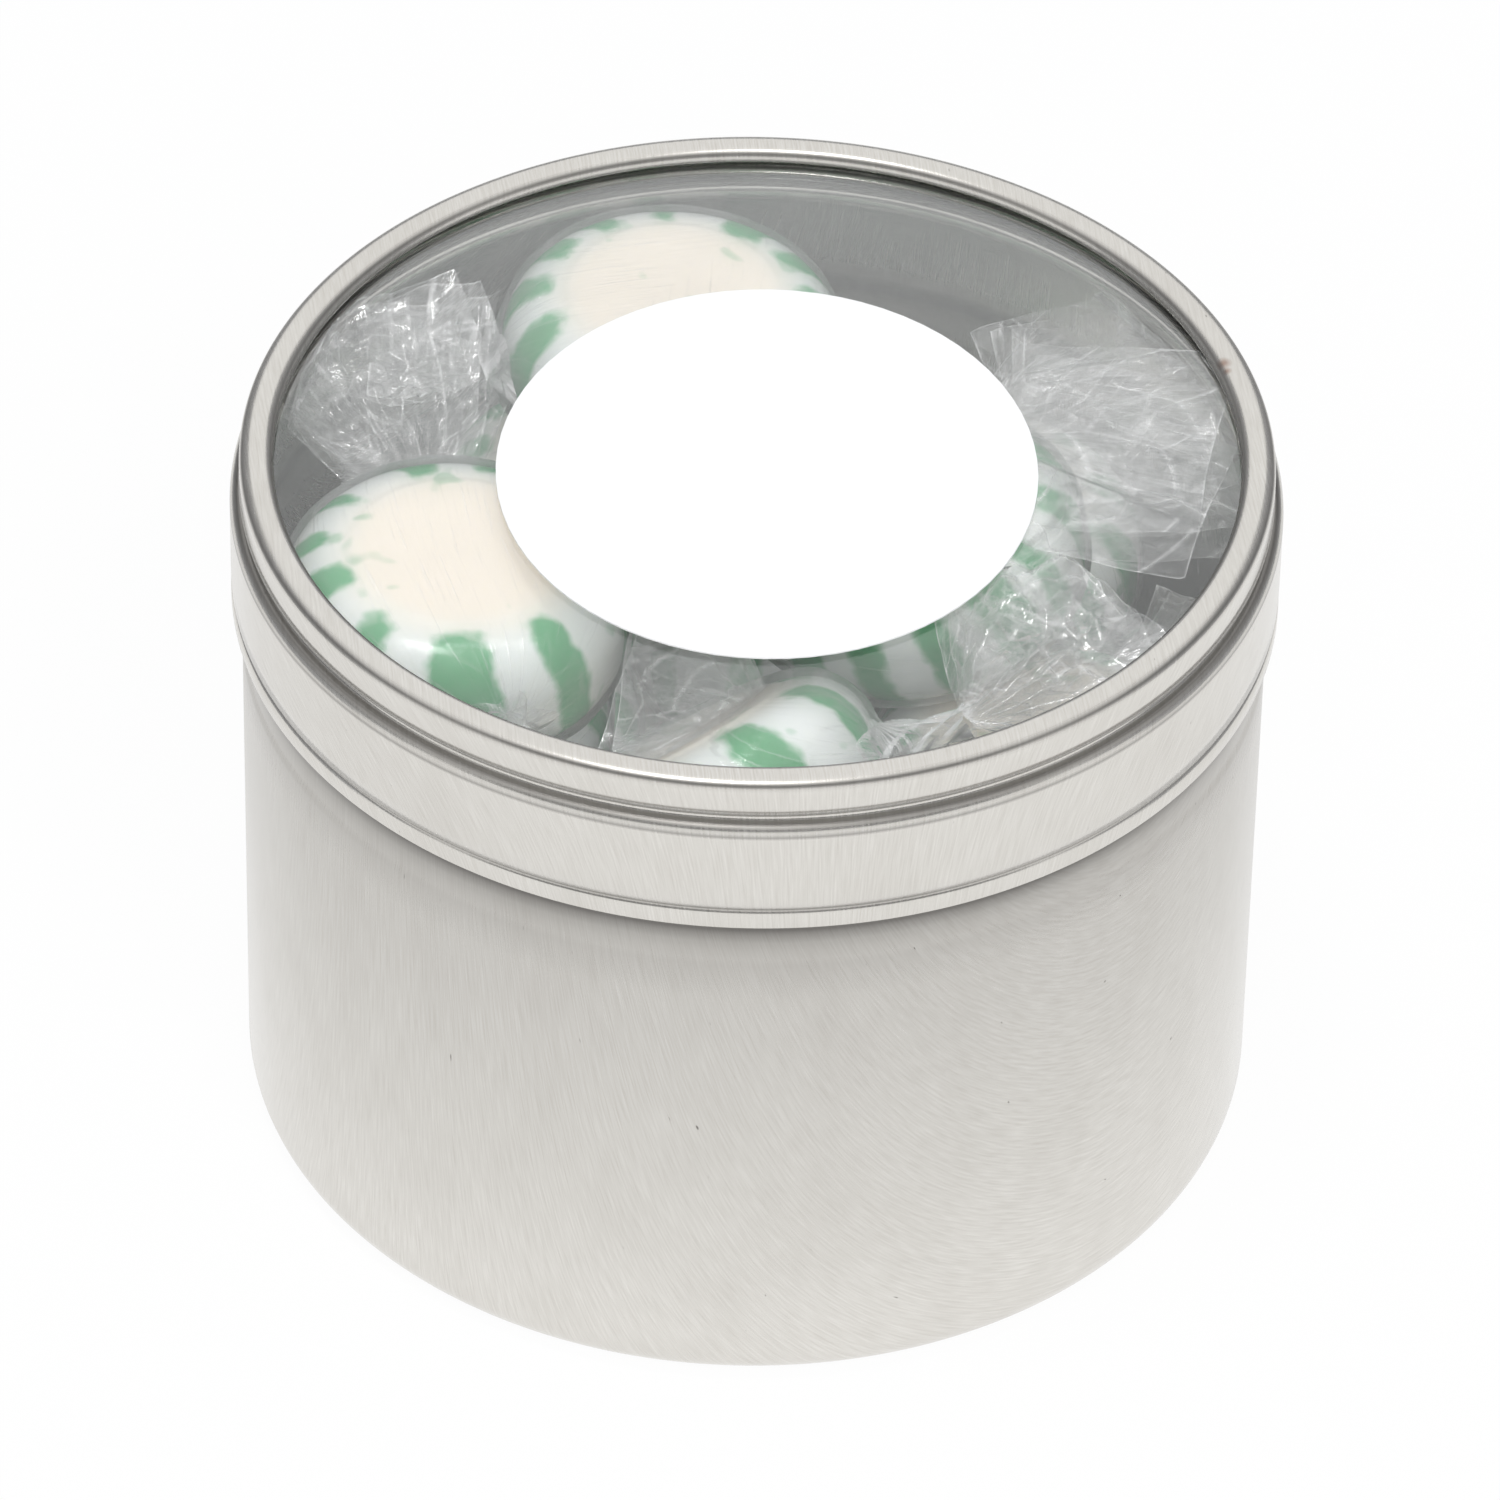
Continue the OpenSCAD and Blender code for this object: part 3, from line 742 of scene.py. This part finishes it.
def mark_folds(bm, roots, seat):
    """Stores, in mm, how far round and away from the nearest twist each point of the film lies."""
    folds = bm.loops.layers.uv.new("folds")
    for face in bm.faces:
        near = min(roots, key=lambda root: (face.calc_center_median() - root).length)
        outward = (near - seat.translation).normalized()
        sideways = Vector((-outward.y, outward.x, 0)).normalized()
        for loop in face.loops:
            arm = loop.vert.co - near
            across, forth = arm.dot(sideways), arm.dot(outward)
            turned = math.atan2(arm.z, across) if forth < 0 else math.atan2(across, max(forth, 0.1 * MM))
            loop[folds].uv = (turned * 9, arm.length / MM)


def wrap_mint(name, seat):
    shows = name in ENDS
    rng = random.Random("film " + name)
    shift = Vector((rng.uniform(0, 50), rng.uniform(0, 50), rng.uniform(0, 50)))
    neighbours = [mint_seat(n) for n in mint_names if n != name
                  and (mint_seat(n).translation - seat.translation).length < 45 * MM]
    bm = bmesh.new()
    bm.verts.layers.float.new("crumple")
    # The "white" layer carries painted highlights on the film's folds and cut edges
    bm.verts.layers.float.new("white")
    film_pouch(bm, ENDS.get(name, POCKET_ENDS), 200 if shows else 96, shift)
    bmesh.ops.transform(bm, matrix=seat, verts=bm.verts)
    roots = []
    for end in ENDS.get(name, POCKET_ENDS):
        home = seat @ Matrix.Rotation(math.radians(end[0]), 4, "Z") \
            @ Matrix.Translation((0, 0, end[1] * MM))
        twist_neck(bm, end, home)
        roots.append(home @ Vector((mint_r + 1.0 * MM, 0, 0)))
        root = home @ Vector((mint_r + (0.5 + end[2]) * MM, 0, 0))
        outward = home.to_3x3() @ Vector((1, 0, 0))
        heading = math.degrees(math.atan2(outward.y, outward.x)) if end[4] is None else end[4]
        aimed = (*end[:4], heading, *end[5:])
        fine = 96 if end[6] > 10 else 40 if shows else 16
        for layer in range(3 if end[6] > 10 else 2):
            cloth = flare(bm, aimed, root, fine, shift, layer)
            if shows:
                settle(cloth, seat, neighbours)
    for place, *shape in CORNERS.get(name, []):
        for layer in (0, 1):
            cloth = flare(bm, (0, 0, 0, 2, *shape), Vector(place) * MM, 96, shift, layer)
            settle(cloth, seat, neighbours)
        roots.append(Vector(place) * MM)
    mark_folds(bm, roots, seat)
    return finish_mesh("film_" + name, bm)


def cellulose_film():
    """Cellulose film: clear and glossy, with fine pulled streaks that run to the twists and small creases
    where it is crumpled. Painted highlights whiten it along its folds, creases, streaks and cut edges."""
    streak_width, streak_length, crease_width, crease_length = 0.4, 9, 3.5, 9
    film = bpy.data.materials.new("cellulose_film")
    film.use_nodes = True
    tree = film.node_tree
    shader = tree.nodes["Principled BSDF"]
    shader.inputs["Base Color"].default_value = srgb("#FFFFFF")
    shader.inputs["Metallic"].default_value = 0.5
    shader.inputs["Roughness"].default_value = 0.1
    folds = add_node(tree, "UVMap", uv_map="folds")
    amount = add_node(tree, "Attribute", attribute_name="crumple")
    white = add_node(tree, "Attribute", attribute_name="white")
    pulled = add_node(tree, "Mapping", {"Vector": folds, "Scale": (1 / streak_width, 1 / streak_length, 1)})
    streak = add_node(tree, "TexNoise", {"Vector": pulled, "Scale": 1.0, "Detail": 4.0, "Roughness": 0.65})
    creased = add_node(tree, "Mapping", {"Vector": folds, "Scale": (1 / crease_width, 1 / crease_length, 1)})
    crease = add_node(tree, "TexVoronoi", {"Vector": creased, "Scale": 1.0}, feature="DISTANCE_TO_EDGE")
    facet = add_node(tree, "MapRange", {"Value": crease.outputs["Distance"], "From Max": 0.4})
    crumpled = add_node(tree, "Math", {0: facet, 1: amount.outputs["Fac"]}, operation="MULTIPLY")
    relief = add_node(tree, "Math", {0: streak, 1: 0.5, 2: crumpled}, operation="MULTIPLY_ADD")
    bump = add_node(tree, "Bump", {"Height": relief, "Strength": 0.7, "Distance": 0.3 * MM})
    tree.links.new(bump.outputs[0], shader.inputs["Normal"])
    gloss = add_node(tree, "Fresnel", {"IOR": 1.42, "Normal": bump})
    haze = add_node(tree, "MapRange", {"Value": amount.outputs["Fac"], "To Min": 0.02, "To Max": 0.1})
    # Painted highlights: the streaks, the crease edges and the "white" layer make the film whiter and less
    # clear there
    glint_line = add_node(tree, "MapRange", {"Value": streak, "From Min": 0.57, "From Max": 0.7, "To Max": 0.3})
    crease_glint = add_node(tree, "MapRange", {"Value": crease.outputs["Distance"], "From Max": 0.03,
                                        "To Min": 0.35, "To Max": 0.0})
    crease_glints = add_node(tree, "Math", {0: crease_glint, 1: amount.outputs["Fac"], 2: glint_line}, operation="MULTIPLY_ADD")
    painted_glints = add_node(tree, "Math", {0: white.outputs["Fac"], 1: 0.45, 2: crease_glints}, operation="MULTIPLY_ADD")
    cloudy = add_node(tree, "Math", {0: painted_glints, 1: haze}, operation="ADD")
    cover = add_node(tree, "Math", {0: gloss, 1: cloudy}, operation="ADD", use_clamp=True)
    path = add_node(tree, "LightPath")
    shade = add_node(tree, "MapRange", {"Value": path.outputs["Is Shadow Ray"], "To Min": 1.0, "To Max": 0.2})
    veil = add_node(tree, "Math", {0: cover, 1: shade}, operation="MULTIPLY")
    tree.links.new(veil.outputs[0], shader.inputs["Alpha"])
    return film


film = cellulose_film()
for name in sorted(mint_names):
    wrapper = wrap_mint(name, mint_seat(name))
    wrapper.data.materials.append(film)
    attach(wrapper, "tin")
    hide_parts("wrapper_" + name)
bpy.context.scene.cycles.transparent_max_bounces = 32
